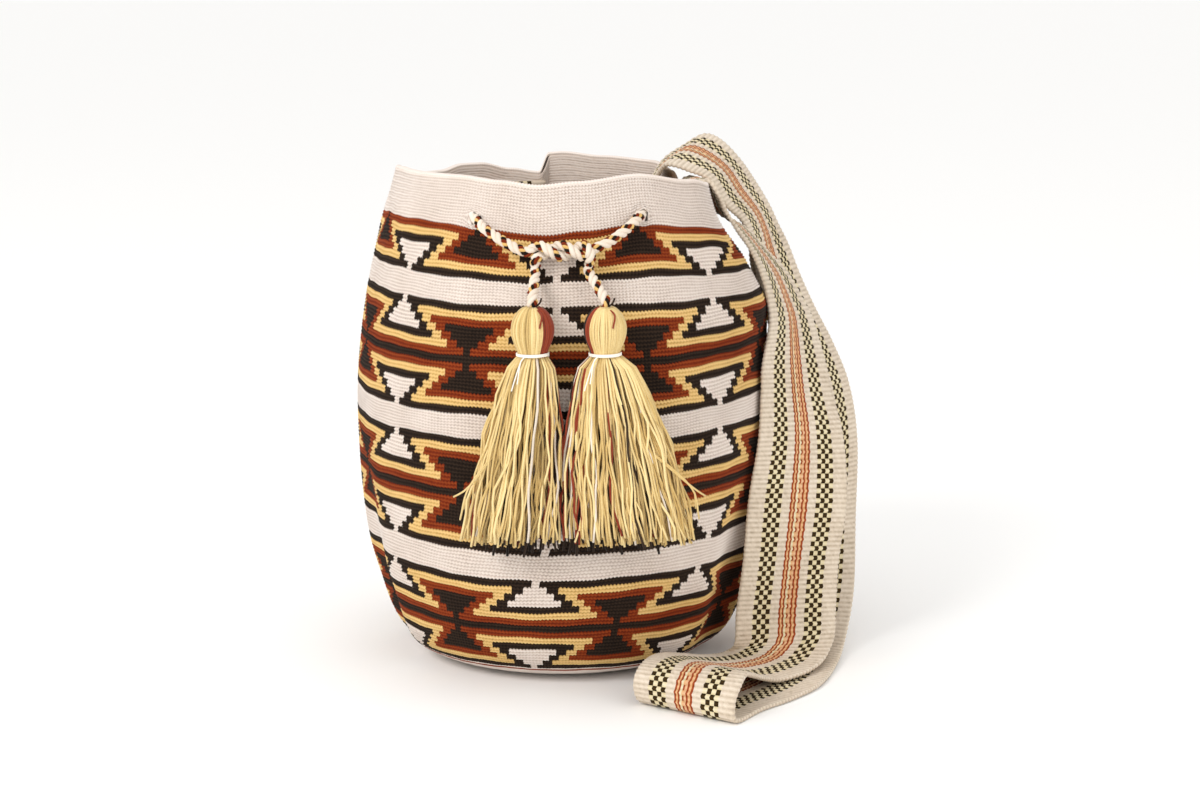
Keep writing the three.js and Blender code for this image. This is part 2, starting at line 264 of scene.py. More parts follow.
def slump(degrees, radius, height):
    """A point of the plain round bag, moved to where the slack fabric hangs."""
    top = smooth((height - 190) / 100)
    low = smooth(height / 25) * (1 - smooth((height - 60) / 110))
    shift = -25 * bump(degrees, 10, 50) * smooth((height - 205) / 80)
    shift = shift - 4 * bump(degrees, 112, 26) * top
    swell = smooth((height - 190) / 30) * (1 - smooth((height - 246) / 28))
    shift += 7 * bump(degrees, -20, 30) * swell
    shift += 1.6 * np.sin(np.radians(3 * degrees + 40)) * smooth(height / 60) * (1 - 0.3 * top)
    shift += 1.2 * np.sin(np.radians(7 * degrees + 10)) * top
    shift -= 7 * bump(degrees, -166, 17) * low + 6 * bump(degrees, -30, 15) * low
    r = radius + shift * np.minimum(radius / 60, 1)
    a = np.radians(degrees)
    lift = (rim_height(degrees) - RIM_HEIGHT) * top ** 1.5
    return np.stack([r * np.cos(a), r * np.sin(a), height + lift], -1)


def beside_wall(degrees, below, out=0.0):
    """A point beside the wall: degrees, mm below the rim along the wall, mm outwards."""
    degrees, below, out = np.broadcast_arrays(np.asarray(degrees, float), below, out)
    run = np.clip(SLOPE - below, 0, SLOPE)
    place = slump(degrees, np.interp(run, outline_run, outline[:, 0]),
                  np.interp(run, outline_run, outline[:, 1]))
    a = np.radians(degrees)
    return place + np.stack([out * np.cos(a), out * np.sin(a), 0 * out], -1)


print("from the middle of the base to the rim:", round(float(SLOPE), 1), "mm")

# %% [markdown]
# ## The pattern
# It is worked in tapestry crochet: the yarn changes colour from stitch to stitch. 368 stitches go
# round, eight repeats of 46. A band is fifteen pairs of rows, the same from both its edges. A colour
# holds for a run of stitches counted from the middle of the nearest white triangle.

# %% Rows and colours
STITCHES, REPEAT = 368, 46
BLOCKS = [("plain", 16, 26.5), ("half", 14, 27.8), ("plain", 8, 13.7), ("full", 30, 62.7),
          ("plain", 8, 13.6), ("full", 30, 65.0), ("plain", 8, 15.8), ("full", 30, 65.0)]
ALL = 99
STEPS = [
    [(1, "cream"), (ALL, "dark")],
    [(3, "cream"), (6, "dark"), (ALL, "mustard")],
    [(5, "cream"), (8, "dark"), (11, "mustard"), (ALL, "rust")],
    [(7, "cream"), (10, "dark"), (13, "mustard"), (16, "rust"), (ALL, "dark")],
    [(12, "dark"), (15, "mustard"), (18, "rust"), (ALL, "dark")],
    [(17, "mustard"), (20, "rust"), (ALL, "dark")],
    [(22, "rust"), (ALL, "dark")],
    [(ALL, "dark")],
]
COLOURS = list(BAG_YARNS)

row_edges, row_pairs = [0.0], []
for kind, rows, height in BLOCKS:
    for row in range(rows):
        row_edges.append(row_edges[-1] + height / rows)
        pair = row // 2
        row_pairs.append(None if kind == "plain" else 6 - pair if kind == "half" else min(pair, 14 - pair))
row_edges = np.array(row_edges)
ROWS = len(row_pairs)

stitch = np.arange(STITCHES) + 0.5
away = np.minimum(stitch % REPEAT, REPEAT - stitch % REPEAT)
yarn_of = np.zeros((ROWS, STITCHES), int)
for row, pair in enumerate(row_pairs):
    if pair is not None:
        for reach, colour in reversed(STEPS[pair]):
            yarn_of[row][away < reach] = COLOURS.index(colour)

# The repeats lean and crowd a little, as hand work does: the angle of a stitch, by its row.
AXIS_BELOW, AXIS_DEGREES = [150, 157, 206, 228, 280], [-91.5, -92.3, -94.3, -97.5, -100.0]


def stitch_degrees(number, below):
    turn = number / STITCHES
    return np.interp(below, AXIS_BELOW, AXIS_DEGREES) + 360 * turn + 5.1 * np.sin(2 * np.pi * turn)


print(ROWS, "rows in", round(float(row_edges[-1]), 1), "mm of wall")

# %% [markdown]
# ## Crocheting the wall
# A picture of stitches on a smooth wall would look printed. Here each stitch has geometry: a rounded
# middle, a groove at each side and a deeper one between rows, and the edges of rows are toothed as
# where one loop hangs in the next. The four yarns are four pieces, as the real yarns are.

# %% A grid of stitches
random = np.random.default_rng(11)
EYELETS = [(-118.0, 21.7), (-64.5, 21.7), (60.0, 21.7), (150.0, 21.7)]
EYELET_RADIUS, EYELET_PULL = 3.3, 7.0   # the cord's hole, and how far the stitches around it give way


def open_eyelets(degrees, below):
    """Moves grid points away from each eyelet, and gives how far each was from the nearest."""
    nearest = np.full(degrees.shape, 1e3)
    for centre, depth in EYELETS:
        radius = 105.0
        x = np.radians((degrees - centre + 540) % 360 - 180) * radius
        y = below - depth
        far = np.hypot(x, y)
        pull = EYELET_RADIUS * (1 - far / EYELET_PULL) / np.maximum(far, 0.05)
        share = np.where(far < EYELET_PULL, pull, 0)
        degrees = degrees + np.degrees(x * share / radius)
        below = below + y * share
        nearest = np.minimum(nearest, far)
    return degrees, below, nearest


def crochet_grid(edges, per_stitch, outward, relief, teeth=0.5, per_row=2):
    """Points of a band of stitches between row edges, on the outer (1) or inner (-1) face."""
    lines = np.interp(np.arange((len(edges) - 1) * per_row + 1) / per_row, np.arange(len(edges)), edges)
    i, j = np.meshgrid(np.arange(len(lines)), np.arange(STITCHES * per_stitch + 1), indexing="ij")
    number = j / per_stitch
    below = np.repeat(lines[:, None], j.shape[1], 1)
    around = 2 * np.pi * number / STITCHES
    wavy = 0.8 * np.sin(2 * around + 1) + 0.5 * np.sin(5 * around + 2 + below * 0.03)
    wavy = wavy + 0.3 * np.sin(13 * around - below * 0.17) + 0.22 * np.sin(29 * around + below * 0.31)
    below = below + wavy * smooth(below / 20)
    middle_of_row = (i % per_row == 1) if per_row > 1 else np.zeros_like(i, bool)
    middle_of_stitch = (j % per_stitch == 1) if per_stitch > 1 else np.zeros_like(j, bool)
    below = below + np.where(middle_of_row, 0, np.where(middle_of_stitch, -teeth, teeth)) * (below > 1)
    brick = middle_of_stitch ^ ((i // per_row) % 2 == 1)       # each row sits half a stitch along
    height = np.where(middle_of_row, 0.4, -0.5) + np.where(brick, 0.14, 0.0)
    loose = random.normal(0, 0.07, (len(lines), STITCHES * per_stitch))
    height = height + np.hstack([loose, loose[:, :1]])
    degrees, below, nearest = open_eyelets(stitch_degrees(number, below), below)
    base = beside_wall(degrees, below)
    over = np.gradient(base, axis=1)
    over[:, [0, -1]] = (over[:, [0]] + over[:, [-1]]) / 2
    up = -np.gradient(base, axis=0)
    normal = np.cross(over, up)
    normal /= np.maximum(np.linalg.norm(normal, axis=-1, keepdims=True), 1e-9)
    depth = -0.25 + relief * height if outward > 0 else -WALL + 0.25 - relief * height
    points = base + normal * depth[..., None]
    # The second value is painted shade and light: low in the grooves between stitches and rows, high on
    # their raised middles, with a small random spread for each point.
    return points, np.clip(0.46 + 0.55 * height, 0, 1), nearest


def grid_piece(name, grid, yarns, materials, span, wanted=None, flip=False):
    """A mesh from a grid: yarns holds a colour number for each quad, span its top and bottom in v."""
    points, tone, nearest = grid
    rows, columns = points.shape[0] - 1, points.shape[1] - 1
    i, j = np.meshgrid(np.arange(rows), np.arange(columns), indexing="ij")
    keep = nearest[:-1, :-1] > 1.1
    if wanted is not None:
        keep = keep & (yarns == wanted)
    i, j = i[keep], j[keep]
    ring = lambda a, b: a * columns + b % columns
    quads = np.stack([ring(i, j), ring(i + 1, j), ring(i + 1, j + 1), ring(i, j + 1)], 1)
    u = np.stack([j, j, j + 1, j + 1], 1) / columns
    v = span[0] + (span[1] - span[0]) * np.stack([i, i + 1, i + 1, i], 1) / rows
    if flip:
        quads, u, v = quads[:, ::-1], u[:, ::-1], v[:, ::-1]
    used, quads = np.unique(quads, return_inverse=True)
    quads = quads.reshape(-1, 4)
    slots = None if wanted is not None or yarns is None else yarns[keep]
    made = new_mesh(name, points[:, :-1].reshape(-1, 3)[used], quads, slots=slots,
                    uv=np.stack([u, v], -1).reshape(-1, 2), tone=tone[:, :-1].ravel()[used])
    for material in materials:
        made.data.materials.append(material)
    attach(made, "bag")
    return made


outer = crochet_grid(row_edges, 2, 1, 1.0)
outer_yarns = np.repeat(np.repeat(yarn_of, 2, 0), 2, 1)
wall_pieces = [grid_piece("bag_wall_" + colour, outer, outer_yarns, [BAG_YARNS[colour]], (1, 0), number)
               for number, colour in enumerate(COLOURS)]
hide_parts("crochet_bag")
print("quads in the wall, by yarn:", {p.name: len(p.data.polygons) for p in wall_pieces})

# %% [markdown]
# The inside shows the same pattern, since every yarn is carried along in the stitches. Only its top
# is seen through the mouth, so that part is as fine as the outside and the rest is plainer.

# %% Inside, rim and base
SEEN_ROWS = 30
yarns = list(BAG_YARNS.values())
inside_top = crochet_grid(row_edges[:SEEN_ROWS + 1], 1, -1, 1.0)
grid_piece("bag_inside_top", inside_top, np.repeat(yarn_of[:SEEN_ROWS], 2, 0), yarns, (1, 0), flip=True)
inside_low = crochet_grid(row_edges[SEEN_ROWS::2], 1, -1, 0.4, teeth=0.0, per_row=1)
grid_piece("bag_inside_low", inside_low, yarn_of[SEEN_ROWS::2], yarns, (1, 0), flip=True)

ROLL_STEPS = 6
roll = np.pi * np.arange(ROLL_STEPS + 1) / ROLL_STEPS
number = np.arange(STITCHES * 2 + 1) / 2
rim_degrees = stitch_degrees(number, 0.0)
swell = np.where(np.arange(len(number)) % 2, 1.0, 0.62)
rim_edge = beside_wall(rim_degrees, 0.0)
a = np.radians(rim_degrees)
spoke = np.stack([np.cos(a), np.sin(a), 0 * a], -1)
middle = rim_edge - spoke * WALL / 2
half = WALL / 2
upwards = np.array([0, 0, 1.0])
arch = [middle + spoke * (half + 0.2) * np.cos(t) + upwards * 1.4 * np.sin(t) * swell[:, None] for t in roll]
tuck = [middle + spoke * sign * (half - 0.9) - upwards * 1.2 for sign in (1, -1)]
rim_points = np.array([tuck[0]] + arch + [tuck[1]])
# Painted shade: the rim is darker between its loops and lighter on them, following their swell.
rim_painted_shade = np.repeat(np.clip(0.25 + 0.45 * swell, 0, 1)[None], len(rim_points), 0)
rim = (rim_points, rim_painted_shade, np.full(rim_painted_shade.shape, 99.0))
grid_piece("bag_rim", rim, None, [BAG_YARNS["cream"]], (1, 0), flip=True)

ROUND_MM = 2.1
base_edges = np.linspace(row_edges[-1] - 0.4, SLOPE - 2.0, round((SLOPE - row_edges[-1]) / ROUND_MM) + 1)
for name, outward in (("bag_base", 1), ("bag_base_inside", -1)):
    points, tone, near = crochet_grid(base_edges, 1, outward, 0.8 if outward > 0 else 0.4, teeth=0.0)
    points[..., 2] = np.maximum(points[..., 2], 0.05 if outward > 0 else WALL - 0.2)
    thin = (points[:, ::2], tone[:, ::2], near[:, ::2])
    first_rounds = np.zeros((len(thin[0]) - 1, thin[0].shape[1] - 1), int)
    first_rounds[1:4] = COLOURS.index("rust")
    grid_piece(name, thin, first_rounds, yarns, (1, 0), flip=outward < 0)
print("base worked in", len(base_edges) - 1, "rounds")

# %% [markdown]
# ## Yarns and cords as strands
# A cord is yarns twisted together, and a tassel is a bundle of loose ones, so both come from one
# helper: it sweeps a round section along many paths at once and closes their ends. Each strand gets
# a cell of its own in the UV map.

# %% Strands
def frames(paths):
    """Unit tangents and two unit sideways directions that don't twist, along each path."""
    along = np.gradient(paths, axis=1)
    along /= np.maximum(np.linalg.norm(along, axis=-1, keepdims=True), 1e-9)
    up = np.zeros_like(paths)
    first = np.eye(3)[np.argmin(np.abs(along[:, 0]), axis=1)]
    for k in range(paths.shape[1]):
        first = first - (first * along[:, k]).sum(-1, keepdims=True) * along[:, k]
        first = first / np.linalg.norm(first, axis=-1, keepdims=True)
        up[:, k] = first
    return along, up, np.cross(along, up)


def strands(name, paths, radii, sides, slots, materials, tones):
    """One piece of many closed strands. radii and tones are one for each strand or each point."""
    paths = np.asarray(paths, float)
    count, steps = paths.shape[:2]
    radii = np.broadcast_to(np.asarray(radii, float).reshape(count, -1), (count, steps))
    tones = np.broadcast_to(np.asarray(tones, float).reshape(count, -1), (count, steps))
    _, up, side = frames(paths)
    turn = 2 * np.pi * np.arange(sides) / sides
    ring = (up[:, :, None] * np.cos(turn)[:, None] + side[:, :, None] * np.sin(turn)[:, None])
    points = paths[:, :, None] + ring * radii[:, :, None, None]
    n, k, s = np.meshgrid(np.arange(count), np.arange(steps - 1), np.arange(sides), indexing="ij")
    corner = lambda step, q: (n * steps + step) * sides + q % sides
    quads = np.stack([corner(k, s), corner(k, s + 1), corner(k + 1, s + 1), corner(k + 1, s)], -1)
    quads = quads.reshape(-1, 4)
    start = np.arange(count)[:, None] * steps * sides
    caps = np.vstack([start + np.arange(sides)[::-1], start + (steps - 1) * sides + np.arange(sides)])
    across = math.ceil(math.sqrt(count))
    cell = np.stack([np.arange(count) % across, np.arange(count) // across], -1) / across
    su = np.stack([s, s + 1, s + 1, s], -1) / sides
    sv = np.stack([k, k, k + 1, k + 1], -1) / (steps - 1)
    inner = 0.08 + 0.84 * np.stack([su, sv], -1)
    uv = (cell[:, None, None, None] + inner / across).reshape(-1, 2)
    cap_uv = np.repeat(np.vstack([cell, cell]) + 0.5 / across, sides, 0)
    cap_uv = cap_uv + 0.05 / across * np.tile(np.stack([np.cos(turn), np.sin(turn)], -1), (2 * count, 1))
    slots = np.asarray(slots)
    of_quads = np.repeat(slots, (steps - 1) * sides)
    made = new_mesh(name, points.reshape(-1, 3), quads, caps, np.concatenate([of_quads, slots, slots]),
                    np.vstack([uv, cap_uv]), np.repeat(tones.ravel(), sides))
    for material in materials:
        made.data.materials.append(material)
    return made


def even(points, step):
    """The same line with points a step apart."""
    run = np.concatenate([[0], np.cumsum(np.linalg.norm(np.diff(points, axis=0), axis=1))])
    at = np.linspace(0, run[-1], max(int(round(run[-1] / step)), 2) + 1)
    return np.stack([np.interp(at, run, points[:, axis]) for axis in range(3)], -1), run[-1]


# %% [markdown]
# ## The drawstring
# It has three plies: two of cream cotton, and one where a dark, a mustard and a rust yarn are twisted
# together. It runs through four eyelets, and its ends meet in front in a half knot, where they turn
# round each other one and a half times before they drop to the tassels.

# %% Twisting the cord
CORD_STATIONS = [
    [-99, 36, 10.2], [-103.5, 33.5, 9], [-108.5, 29.5, 7.4], [-113.5, 25, 4.8], [-118, 21.7, -1.7],
    [-122.5, 21.7, -7.8], [-130, 21.7, -8], [-142, 21.7, -8], [-154, 21.7, -8], [-166, 21.7, -8],
    [-178, 21.7, -8], [170, 21.7, -8], [160, 21.7, -8], [154.5, 21.7, -7.8], [150, 21.7, -1.7],
    [145.5, 21.7, 3.9], [138, 21.7, 4], [127, 21.7, 4], [116, 21.7, 4], [105, 21.7, 4], [94, 21.7, 4],
    [83, 21.7, 4], [72, 21.7, 4], [64.5, 21.7, 3.9], [60, 21.7, -1.7], [55.5, 21.7, -7.6],
    [46, 21.7, -7.6], [34, 21.7, -7.6], [22, 21.7, -7.6], [10, 21.7, -7.6], [-2, 21.7, -7.6],
    [-14, 21.7, -7.6], [-26, 21.7, -7.8], [-38, 21.7, -8], [-50, 21.7, -8], [-60, 21.7, -7.8],
    [-64.5, 21.7, -1.7], [-69, 25, 4.8], [-73.5, 29.5, 7.4], [-78, 33.5, 9], [-82, 36, 10.2]]
KNOT_Y, KNOT_Z, KNOT_HALF, KNOT_RADIUS = -121.0, 257.5, 19.0, 3.1
KNOT_TURNS = 1.5
HINGE_X, DROP_TOP_Z = 15.0, 250.4
PLY_RADIUS, PLY_OFFSET, PLY_PITCH = 1.48, 1.52, 12.0
FINE_RADIUS, FINE_OFFSET = 0.98, 0.92

CORD_YARNS = [cotton("cord cotton, cream", "#87735F", "#DCCAB6", "#EDE1D2", relief=0.7),
              BAG_YARNS["dark"], BAG_YARNS["mustard"], BAG_YARNS["rust"]]


def knot_side(x, half_turn):
    """A point of one of the two cords in the half knot."""
    turn = 2 * np.pi * KNOT_TURNS * (x + KNOT_HALF) / (2 * KNOT_HALF) + half_turn
    return [x, KNOT_Y + KNOT_RADIUS * math.cos(turn), KNOT_Z + KNOT_RADIUS * math.sin(turn)]


def twisted_cord(name, route, body, phase=0.0, step=1.0):
    """A piece of three-ply cord along a route."""
    line, length = even(route, step)
    run = np.linspace(0, length, len(line))
    _, up, side = frames(line[None])
    turn = 2 * np.pi * run / PLY_PITCH + phase
    ply = lambda shift, wide, base: base + wide * (up[0] * np.cos(turn + shift)[:, None]
                                                   + side[0] * np.sin(turn + shift)[:, None])
    third = 2 * np.pi / 3
    paths = [ply(0, PLY_OFFSET, line), ply(third, PLY_OFFSET, line)]
    mixed = ply(2 * third, PLY_OFFSET, line)
    for k in range(3):
        spin = -2.3 * turn + k * third
        paths.append(mixed + FINE_OFFSET * (up[0] * np.cos(spin)[:, None] + side[0] * np.sin(spin)[:, None]))
    thick = [PLY_RADIUS, PLY_RADIUS, FINE_RADIUS, FINE_RADIUS, FINE_RADIUS]
    made = strands(name, paths, thick, 8, [0, 0, 1, 2, 3], CORD_YARNS, [0.55, 0.5, 0.4, 0.45, 0.4])
    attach(made, body)
    return made, length


loop = beside_wall(*np.array(CORD_STATIONS).T)
knot_a = [knot_side(x, 0.0) for x in (-15, -11, -7, -3, 1, 5, 9, 12)]
knot_b = [knot_side(x, math.pi) for x in (15, 11, 7, 3, -1, -5, -9, -12)]
end_a = [[14.6, -124.3, 258.2], [15.6, -124.0, 254.2], [HINGE_X, KNOT_Y, DROP_TOP_Z]]
end_b = [[-14.6, -123.8, 253.4], [-HINGE_X, KNOT_Y, DROP_TOP_Z]]
cord_route = spline((knot_a + end_a)[::-1] + loop.tolist() + knot_b + end_b, 12)
drawstring, cord_length = twisted_cord("drawstring_cord", cord_route, "bag")
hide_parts("drawstring")

TASSELS = {
    "left": {"head": [-16.5, -135, 216], "foot": [-28.5, -141, 97], "half": 23.5, "hinge": -15},
    "right": {"head": [23.5, -135, 216], "foot": [36, -141, 97], "half": 34.5, "hinge": 15},
}
HEAD_RADIUS = 12.0
NECK_DROP = HEAD_RADIUS + 2    # mm from the middle of the head down to the binding
drops = {}
for side, tassel in TASSELS.items():
    hx, hy, hz = tassel["head"]
    top = hz + HEAD_RADIUS
    route = spline([[tassel["hinge"], KNOT_Y, DROP_TOP_Z], [tassel["hinge"], KNOT_Y, 245.2],
                    [hx, hy, top + 4], [hx, hy, top - 2.5], [hx, hy, hz], [hx, hy, hz - NECK_DROP]], 16)
    drop, drop_length = twisted_cord("drop_cord_" + side, route, "tassel_" + side, phase=1.0, step=0.8)
    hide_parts("drop_" + side)
    drops[side] = (drop, route, drop_length)
    print(side, "end of the cord:", round(float(drop_length), 1), "mm, with what the tassel's head hides")
print("drawstring:", round(float(cord_length)), "mm")

# %% [markdown]
# ## The tassels
# A tassel is a hank of glossier, mercerised yarn folded over the cord's end and bound at the neck. The
# cord runs on through the head to the binding, and is attached here to the same body as what hangs
# on it. Yarns lie side by side over the head and hang loose below. They spread at the cut end, wave a
# little and don't all end at one height. Straw yellow hides a few rust, white and dark yarns.

# %% Tassel yarns
TASSEL_YARNS = [
    cotton("mercerised cotton, straw yellow", "#3A270C", "#CBAA68", "#EFD69A", sheen=0.1, roughness=0.6,
           gloss=0.35),
    cotton("mercerised cotton, rust", "#43140B", "#7E2F1C", "#9C452C", sheen=0.1, roughness=0.62),
    cotton("mercerised cotton, white", "#8F8070", "#DED0BE", "#EFE5D8", sheen=0.1, roughness=0.62),
    cotton("mercerised cotton, dark brown", "#0E0805", "#24180F", "#3A2A1D", sheen=0.05, roughness=0.62),
]
THREAD = cotton("binding thread, white cotton", "#B5A898", "#EFE7DB", "#FAF5ED", relief=0.5)
SKIRT_STEPS, HEAD_STRANDS = 15, 66
TIE_RADIUS = 8.8    # mm from the middle of the neck to the thread wound round it
HEAD_LINE = [[3.5, 12.2], [6.6, 10.6], [10.0, 6.0], [11.4, 0], [10.2, -6.5], [7.9, -11.5], [7.5, -15]]
# Where a coloured yarn shows on the head: from and to, in degrees, and its number above.
HEAD_WEDGES = {"left": [(-58, 0, 1)], "right": [(168, 200, 3), (200, 220, 1)]}


# Where coloured yarns gather at the inner side of each skirt: the side in x, and how many show.
INNER_SIDE = {"left": (1, 0.45), "right": (-1, 0.6)}
FLARE = 3.5         # mm that the loosest yarns stand out beyond the plain form
BUNDLE_RADIUS = 7.2    # mm, of the yarns where they are bound


def skirt(side, tassel, count):
    """Paths, colours and tones of the loose yarns below the neck."""
    hx, hy, hz = tassel["head"]
    fx, fy, fz = tassel["foot"]
    neck = hz - NECK_DROP
    angle = random.uniform(0, 2 * np.pi, count)
    out = random.uniform(0, 1, count) ** 0.4
    colour = random.choice(4, count, p=[0.955, 0.01, 0.015, 0.02])
    colour = np.where(out < 0.6, random.choice(4, count, p=[0.62, 0.11, 0.03, 0.24]), colour)
    inner, show = INNER_SIDE[side]
    gathered = (np.cos(angle) * inner > 0.72) & (random.uniform(0, 1, count) < show)
    colour = np.where(gathered, random.choice([1, 2, 3], count, p=[0.42, 0.2, 0.38]), colour)
    length = random.normal(0.985, 0.02, count).clip(0.93, 1.02)
    length = np.where(colour == 3, length + 0.055, length)[:, None]
    down = np.linspace(0, 1, SKIRT_STEPS)[None] * length
    half = BUNDLE_RADIUS + (tassel["half"] + FLARE - BUNDLE_RADIUS) * down ** 0.47
    deep = BUNDLE_RADIUS + 3.0 * smooth(down * 4)
    phase = random.uniform(0, 2 * np.pi, (count, 3))
    pace = random.uniform(0.7, 1.3, (count, 1))
    loose = random.uniform(0.4, 1.5, (count, 1))
    sway = 2.1 * loose * np.sin(down * 7 * pace + phase[:, :1]) * smooth(down * 1.6)
    curl = 0.8 * loose * np.sin(down * 19 * pace + phase[:, 1:2]) * smooth(down * 2.5)
    x = hx + (fx - hx) * down + np.cos(angle)[:, None] * out[:, None] * half + sway + curl
    y = hy + (fy - hy) * down + np.sin(angle)[:, None] * out[:, None] * deep
    y = y + 0.6 * np.sin(down * 11 * pace + phase[:, 2:]) * smooth(down * 2)
    z = neck + (fz + 1 - neck) * down
    # Painted shade: yarns deep inside the bundle are darker and those at its outside lighter, plus a random
    # spread.
    tone = (0.56 * out + random.normal(0, 0.13, count)).clip(0, 1)
    return np.stack([x, y, z], -1), colour, tone


def head(side, tassel):
    """Paths, colours and tones of the yarns that lie over the head."""
    hx, hy, hz = tassel["head"]
    line = spline(HEAD_LINE, 3)[:SKIRT_STEPS * 2]
    line, _ = even(np.hstack([line, 0 * line[:, :1]]), 30 / (SKIRT_STEPS - 1))
    at = np.linspace(0, len(line) - 1, SKIRT_STEPS)
    radius, up = (np.interp(at, np.arange(len(line)), line[:, k]) for k in (0, 1))
    angle = 2 * np.pi * np.arange(HEAD_STRANDS) / HEAD_STRANDS + random.normal(0, 0.015, HEAD_STRANDS)
    grow = 1 + random.normal(0, 0.012, HEAD_STRANDS)[:, None]
    x = hx + np.cos(angle)[:, None] * radius[None] * grow
    y = hy + np.sin(angle)[:, None] * radius[None] * grow
    z = hz + np.repeat(up[None], HEAD_STRANDS, 0)
    degrees = np.degrees(angle)
    colour = np.zeros(HEAD_STRANDS, int)
    for start, end, number in HEAD_WEDGES[side]:
        colour[((degrees - start) % 360) < (end - start)] = number
    return np.stack([x, y, z], -1), colour, random.normal(0.5, 0.08, HEAD_STRANDS).clip(0, 1)


for side, count in (("left", 340), ("right", 430)):
    tassel = TASSELS[side]
    loose, loose_colour, loose_tone = skirt(side, tassel, count)
    over, over_colour, over_tone = head(side, tassel)
    # Two stray ends where the cord goes in, and a few yarns that have come loose at the outer side.
    hx, hy, hz = tassel["head"]
    outer_side = -INNER_SIDE[side][0]
    fx, fy, fz = tassel["foot"]
    strays = [[[hx + 1, hy - 3, hz + 12], [hx + 5, hy - 9, hz + 9], [hx + 4, hy - 11.5, hz + 2]],
              [[hx + 1, hy - 2, hz + 12], [hx + 4, hy - 5, hz + 15], [hx + 5, hy - 7, hz + 18]]]
    for far, low in ((6.0, 14.0), (9.5, 27.0), (4.0, 20.0)):
        edge = fx + outer_side * (tassel["half"] - 1)
        strays.append([[hx + outer_side * 12, hy - 6, fz + 62], [edge, fy - 6, fz + 34],
                       [edge + outer_side * far, fy - 5, fz + low]])
    strays = [even(spline(line, 12), 1)[0] for line in strays]
    strays = np.array([line[np.linspace(0, len(line) - 1, SKIRT_STEPS).astype(int)] for line in strays])
    stray_colour = [1, 3, 0, 0, 0]
    radii = np.concatenate([random.normal(0.7, 0.05, count).clip(0.55, 0.82), np.full(HEAD_STRANDS, 0.68),
                            np.full(len(strays), 0.55)])
    made = strands("tassel_yarns_" + side, np.vstack([loose, over, strays]), radii, 5,
                   np.concatenate([loose_colour, over_colour, stray_colour]), TASSEL_YARNS,
                   np.concatenate([loose_tone, over_tone, np.full(len(strays), 0.5)]))
    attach(made, "tassel_" + side)
    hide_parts("tassel_" + side)

    neck = hz - NECK_DROP
    turn = np.linspace(0, 2 * np.pi * 2, 60)
    wound = np.stack([hx + TIE_RADIUS * np.cos(turn), hy + TIE_RADIUS * np.sin(turn),
                      neck - 0.8 + 1.6 * turn / turn[-1]], -1)
    tails = [spline([[hx - 4, hy - 7.6, neck], [hx - 6.5, hy - 9.8, neck - 3],
                     [hx - 8 - lean, hy - 10.8, neck - 12],
                     [hx - 8.5 - 2 * lean, hy - 11.5, neck - reach]], 20)[:60]
             for lean, reach in ((0, 15), (1.6, 19))]
    tie = strands("neck_thread_" + side, [wound] + tails, [0.5, 0.36, 0.36], 7, [0, 0, 0], [THREAD],
                  [0.55] * 3)
    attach(tie, "tassel_" + side)
    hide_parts("tie_" + side)
    drop, route, drop_length = drops[side]
    print(side, "tassel:", count, "loose yarns and", HEAD_STRANDS, "over the head")

# %% [markdown]
# ## The strap
# It is a band of warp-faced weaving: the lengthwise yarns hide the crosswise one, which only shows
# as ribs. Colours run in lengthwise columns, and two columns change colour from rib to rib, which
# makes a checker. The band is made directly from its two edges, with one quad for each yarn.

